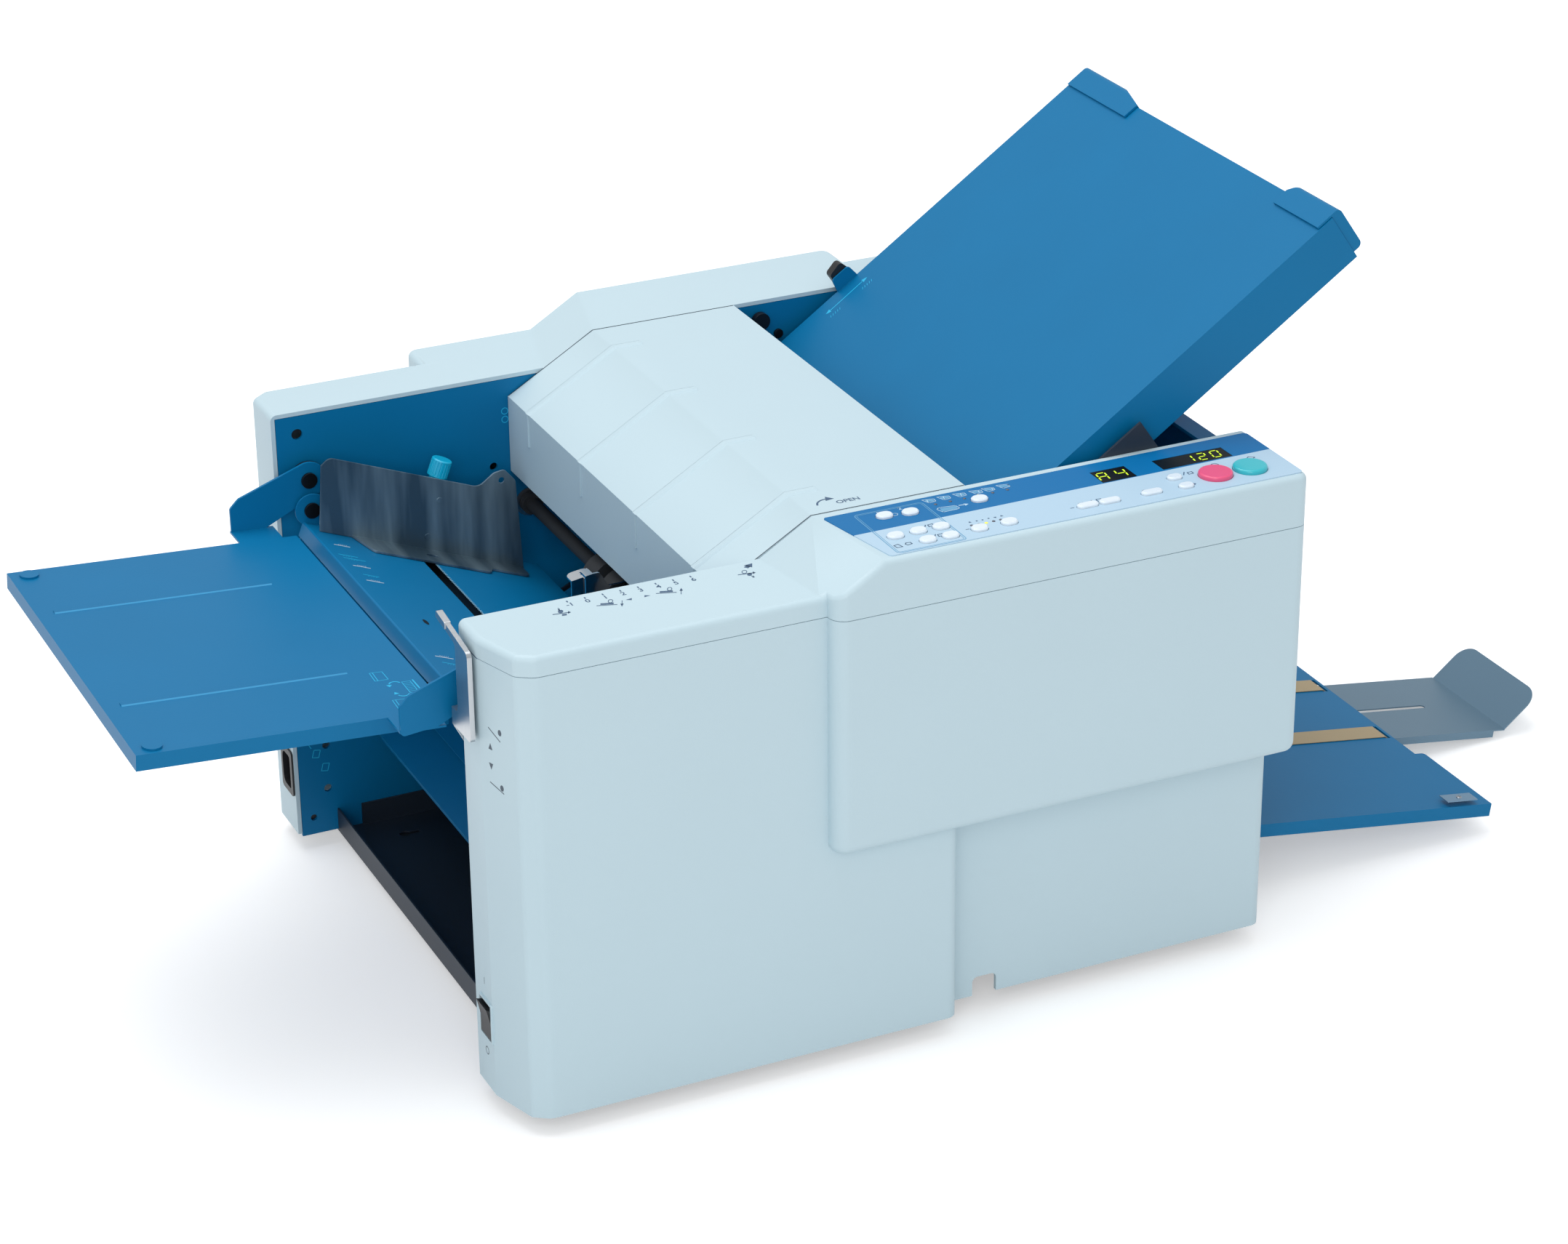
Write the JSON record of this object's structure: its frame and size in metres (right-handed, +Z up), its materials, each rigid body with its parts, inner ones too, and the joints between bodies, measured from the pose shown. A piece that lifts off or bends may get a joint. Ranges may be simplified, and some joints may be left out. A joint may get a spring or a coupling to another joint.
{
  "type": "paper folding machine",
  "caption": "Desk-top paper folding machine with feed tray, buckle plates, gear-driven fold rollers, key panel, hinged cover and belted delivery tray.",
  "frame": {"origin": "bottom centre of the overall box, on the surface the feet stand on", "axes": "+X along the paper path from the feed tray to the delivery tray, +Y from the control side to the drive side, +Z up"},
  "size_m": [1.1226, 0.5262, 0.5065],
  "materials": {
    "cover_plastic": "satin",
    "blue_steel": "satin",
    "dark_steel": "satin",
    "guide_steel": "satin",
    "bright_steel": "brushed",
    "chromed_steel": "polished",
    "roller_rubber": "matt",
    "foot_rubber": "matt",
    "belt_rubber": "matt",
    "black_plastic": "matt",
    "black_steel": "satin",
    "blue_plastic": "satin",
    "knob_plastic": "gloss",
    "key_plastic": "gloss",
    "stop_plastic": "gloss",
    "start_plastic": "gloss",
    "panel_film": "satin",
    "display_window": "gloss",
    "gear_plastic": "matt",
    "stopper_steel": "satin",
    "motor_metal": "satin"
  },
  "bodies": {
    "frame": {"base_pan": "dark_steel", "rubber_feet": "foot_rubber", "rear_side_frame": "blue_steel", "front_side_frame": "blue_steel", "rear_housing": "cover_plastic", "front_housing": "cover_plastic", "front_cap": "cover_plastic", "panel_overlay": "panel_film", "display_modules": "display_window", "mains_inlet": "black_plastic", "tie_rods": "bright_steel", "right_end_plate": "blue_steel", "delivery_chute": "blue_steel", "plate_rails": "dark_steel", "roller_bearings": "bright_steel", "drive_motor": "motor_metal", "drive_belt": "roller_rubber", "pivot_screws": "black_steel", "cover_hinge_pins": "bright_steel"},
    "rocker": {"power_rocker": "black_plastic"},
    "motor_rotor": {"motor_pulley": "bright_steel"},
    "deck": {"feed_deck": "blue_steel"},
    "rear_guide": {"rear_side_guide": "guide_steel"},
    "front_guide": {"front_side_guide": "guide_steel"},
    "rear_knob": {"rear_guide_knob": "knob_plastic"},
    "front_knob": {"front_guide_knob": "knob_plastic"},
    "tray": {"feed_tray": "blue_steel"},
    "separator": {"separator_bracket": "chromed_steel"},
    "feeder": {"feed_roller": "roller_rubber"},
    "upper_plate": {"fold_plate_1": "blue_steel", "plate_1_caps": "blue_plastic"},
    "upper_stop": {"fold_stop_1": "bright_steel"},
    "clamp": {"plate_clamp": "black_plastic"},
    "lower_plate": {"fold_plate_2": "blue_steel"},
    "lower_stop": {"fold_stop_2": "bright_steel"},
    "cover": {"top_cover": "cover_plastic"},
    "delivery_tray": {"receiving_tray": "blue_steel", "conveyor_belts": "belt_rubber"},
    "conveyor_shaft": {"conveyor_drive_shaft": "bright_steel"},
    "stopper": {"paper_stopper": "stopper_steel"},
    "lever": {"skew_lever": "bright_steel"},
    "stop_key": {"stop_button": "stop_plastic"},
    "start_key": {"start_button": "start_plastic"},
    "roller_1": {"fold_roller_1": "bright_steel", "roller_gear_1": "gear_plastic"},
    "roller_2": {"fold_roller_2": "roller_rubber", "roller_gear_2": "gear_plastic"},
    "roller_3": {"fold_roller_3": "bright_steel", "roller_gear_3": "gear_plastic"},
    "roller_4": {"fold_roller_4": "roller_rubber", "roller_gear_4": "gear_plastic"},
    "address_keys": {"address_keys": "key_plastic"},
    "size_keys": {"size_keys": "key_plastic"},
    "fold_shift_keys": {"fold_shift_keys": "key_plastic"},
    "fold_mode_key": {"fold_mode_key": "key_plastic"},
    "step_keys": {"step_keys": "key_plastic"},
    "count_keys": {"count_keys": "key_plastic"},
    "clear_key": {"clear_key": "key_plastic"},
    "test_key": {"test_key": "key_plastic"},
    "batch_key": {"batch_key": "key_plastic"}
  },
  "joints": [
    {"name": "rocker_tilt", "type": "hinge", "parent": "frame", "child": "rocker", "pos_m": [-0.35498, -0.19812, 0.066], "axis": [0, 1, 0], "range_deg": [0, 12]},
    {"name": "roller_1_spin", "type": "hinge", "parent": "frame", "child": "roller_1", "pos_m": [-0.13104, 0.00287, 0.22769], "axis": [0, 1, 0], "continuous": true},
    {"name": "roller_2_spin", "type": "hinge", "parent": "frame", "child": "roller_2", "pos_m": [-0.11292, 0.00287, 0.20131], "axis": [0, 1, 0], "continuous": true},
    {"name": "roller_3_spin", "type": "hinge", "parent": "frame", "child": "roller_3", "pos_m": [-0.08654, 0.00287, 0.21944], "axis": [0, 1, 0], "continuous": true},
    {"name": "roller_4_spin", "type": "hinge", "parent": "frame", "child": "roller_4", "pos_m": [-0.07897, 0.00287, 0.18835], "axis": [0, 1, 0], "continuous": true},
    {"name": "motor_spin", "type": "hinge", "parent": "frame", "child": "motor_rotor", "pos_m": [0.00102, 0.00287, 0.214], "axis": [0, 1, 0], "continuous": true},
    {"name": "feed_spin", "type": "hinge", "parent": "frame", "child": "feeder", "pos_m": [-0.16898, 0.00287, 0.242], "axis": [0, 1, 0], "continuous": true},
    {"name": "conveyor_spin", "type": "hinge", "parent": "frame", "child": "conveyor_shaft", "pos_m": [0.21202, 0.00287, 0.0515], "axis": [0, 1, 0], "continuous": true},
    {"name": "deck_lift", "type": "hinge", "parent": "frame", "child": "deck", "pos_m": [-0.33878, 0.00287, 0.2754], "axis": [0, -1, 0], "range_deg": [0, 6]},
    {"name": "feed_tray_fold", "type": "hinge", "parent": "frame", "child": "tray", "pos_m": [-0.33828, 0.00287, 0.2964], "axis": [0, 1, 0], "range_deg": [0, 45]},
    {"name": "rear_guide_slide", "type": "slide", "parent": "deck", "child": "rear_guide", "axis": [0, -1, 0], "range_m": [0, 0.098]},
    {"name": "front_guide_slide", "type": "slide", "parent": "deck", "child": "front_guide", "axis": [0, 1, 0], "range_m": [0, 0.098]},
    {"name": "rear_knob_turn", "type": "hinge", "parent": "rear_guide", "child": "rear_knob", "pos_m": [-0.24523, 0.16087, 0.29259], "axis": [0.3665, 0, 0.9304], "range_deg": [0, 270]},
    {"name": "front_knob_turn", "type": "hinge", "parent": "front_guide", "child": "front_knob", "pos_m": [-0.24523, -0.15513, 0.29259], "axis": [0.3665, 0, 0.9304], "range_deg": [0, 270]},
    {"name": "separator_lift", "type": "hinge", "parent": "frame", "child": "separator", "pos_m": [-0.14398, 0.00287, 0.279], "axis": [0, 1, 0], "range_deg": [0, 6]},
    {"name": "upper_plate_slide", "type": "slide", "parent": "frame", "child": "upper_plate", "axis": [0.8241, 0, 0.5664], "range_m": [0, 0.15]},
    {"name": "upper_stop_slide", "type": "slide", "parent": "upper_plate", "child": "upper_stop", "axis": [-0.8241, 0, -0.5664], "range_m": [0, 0.33]},
    {"name": "clamp_turn", "type": "hinge", "parent": "upper_plate", "child": "clamp", "pos_m": [0.07823, 0.17888, 0.37516], "axis": [0, 1, 0], "range_deg": [0, 60]},
    {"name": "lower_plate_slide", "type": "slide", "parent": "frame", "child": "lower_plate", "axis": [-0.8949, 0, -0.4462], "range_m": [0, 0.12]},
    {"name": "lower_stop_slide", "type": "slide", "parent": "lower_plate", "child": "lower_stop", "axis": [0.8949, 0, 0.4462], "range_m": [0, 0.12]},
    {"name": "cover_open", "type": "hinge", "parent": "frame", "child": "cover", "pos_m": [-0.01098, 0.00287, 0.357], "axis": [0, 1, 0], "range_deg": [0, 75]},
    {"name": "delivery_tray_fold", "type": "hinge", "parent": "frame", "child": "delivery_tray", "pos_m": [0.21202, 0.00287, 0.0515], "axis": [0, -1, 0], "range_deg": [0, 85]},
    {"name": "stopper_slide", "type": "slide", "parent": "delivery_tray", "child": "stopper", "axis": [-0.9894, 0, 0.1454], "range_m": [0, 0.075]},
    {"name": "lever_slide", "type": "slide", "parent": "frame", "child": "lever", "axis": [0, 0, 1], "range_m": [-0.006, 0.006]},
    {"name": "stop_key_press", "type": "slide", "parent": "frame", "child": "stop_key", "axis": [0, 0, -1], "range_m": [0, 0.001], "stiffness_N_per_m": 300, "springref_m": -0.001},
    {"name": "start_key_press", "type": "slide", "parent": "frame", "child": "start_key", "axis": [0, 0, -1], "range_m": [0, 0.001], "stiffness_N_per_m": 300, "springref_m": -0.001},
    {"name": "address_keys_press", "type": "slide", "parent": "frame", "child": "address_keys", "axis": [0, 0, -1], "range_m": [0, 0.001], "stiffness_N_per_m": 300, "springref_m": -0.001},
    {"name": "size_keys_press", "type": "slide", "parent": "frame", "child": "size_keys", "axis": [0, 0, -1], "range_m": [0, 0.001], "stiffness_N_per_m": 300, "springref_m": -0.001},
    {"name": "fold_shift_keys_press", "type": "slide", "parent": "frame", "child": "fold_shift_keys", "axis": [0, 0, -1], "range_m": [0, 0.001], "stiffness_N_per_m": 300, "springref_m": -0.001},
    {"name": "fold_mode_key_press", "type": "slide", "parent": "frame", "child": "fold_mode_key", "axis": [0, 0, -1], "range_m": [0, 0.001], "stiffness_N_per_m": 300, "springref_m": -0.001},
    {"name": "step_keys_press", "type": "slide", "parent": "frame", "child": "step_keys", "axis": [0, 0, -1], "range_m": [0, 0.001], "stiffness_N_per_m": 300, "springref_m": -0.001},
    {"name": "count_keys_press", "type": "slide", "parent": "frame", "child": "count_keys", "axis": [0, 0, -1], "range_m": [0, 0.001], "stiffness_N_per_m": 300, "springref_m": -0.001},
    {"name": "clear_key_press", "type": "slide", "parent": "frame", "child": "clear_key", "axis": [0, 0, -1], "range_m": [0, 0.001], "stiffness_N_per_m": 300, "springref_m": -0.001},
    {"name": "test_key_press", "type": "slide", "parent": "frame", "child": "test_key", "axis": [0, 0, -1], "range_m": [0, 0.001], "stiffness_N_per_m": 300, "springref_m": -0.001},
    {"name": "batch_key_press", "type": "slide", "parent": "frame", "child": "batch_key", "axis": [0, 0, -1], "range_m": [0, 0.001], "stiffness_N_per_m": 300, "springref_m": -0.001}
  ],
  "couplings": [
    {"joint": "roller_2_spin", "follows": "roller_1_spin", "ratio": -1},
    {"joint": "roller_3_spin", "follows": "roller_1_spin", "ratio": 1},
    {"joint": "roller_4_spin", "follows": "roller_1_spin", "ratio": -1},
    {"joint": "motor_spin", "follows": "roller_1_spin", "ratio": -2}
  ]
}
